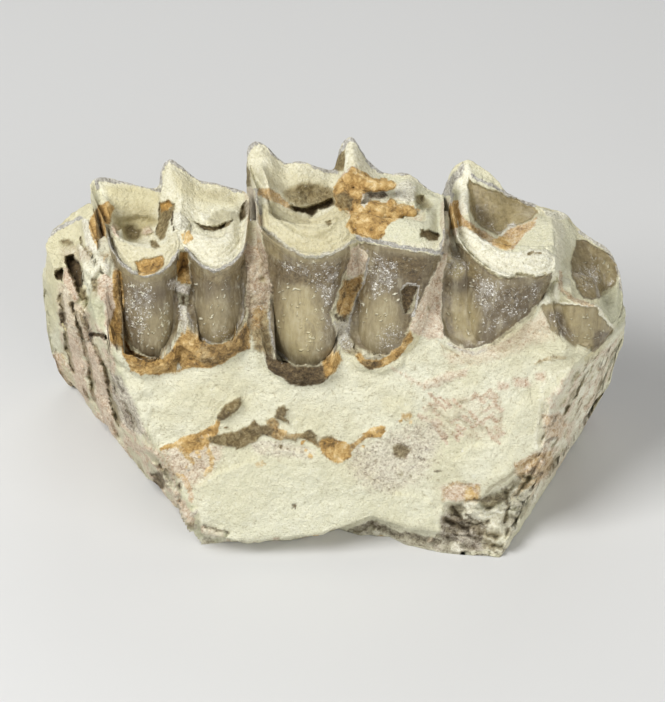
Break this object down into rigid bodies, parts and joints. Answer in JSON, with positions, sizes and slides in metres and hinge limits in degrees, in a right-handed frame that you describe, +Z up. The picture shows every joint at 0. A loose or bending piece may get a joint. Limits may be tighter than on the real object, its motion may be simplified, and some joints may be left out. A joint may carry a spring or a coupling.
{
  "type": "fossil oreodont jaw",
  "caption": "Fossil jaw fragment of an oreodont, a small hoofed mammal, with worn molars set in a pale siltstone block; rests on its flat underside for display or study.",
  "frame": {"origin": "centre of the bounding box in plan, at the height of the flat underside that the block rests on", "axes": "+X along the tooth row towards the back of the animal (the right of the picture), +Y from the tongue side to the cheek side, away from the camera, +Z up, the way the crowns point"},
  "size_m": [0.0558, 0.0262, 0.0319],
  "materials": {
    "siltstone": "dull, fine-grained broken siltstone with fossil bone in it, cream with ochre and lilac-grey stains",
    "fossil_enamel": "smooth, half-glossy taupe-grey enamel walls over chalky white worn crowns",
    "fossil_dentine": "chalky, broken cream and pinkish dentine and root",
    "iron_crust": "dull, granular iron-stained mineral crust, ochre to brown"
  },
  "bodies": {
    "root": {"jaw_block": "siltstone", "first_molar": "fossil_enamel", "second_molar": "fossil_enamel", "third_molar": "fossil_enamel", "broken_premolar": "fossil_dentine", "iron_crust": "iron_crust"}
  },
  "joints": []
}
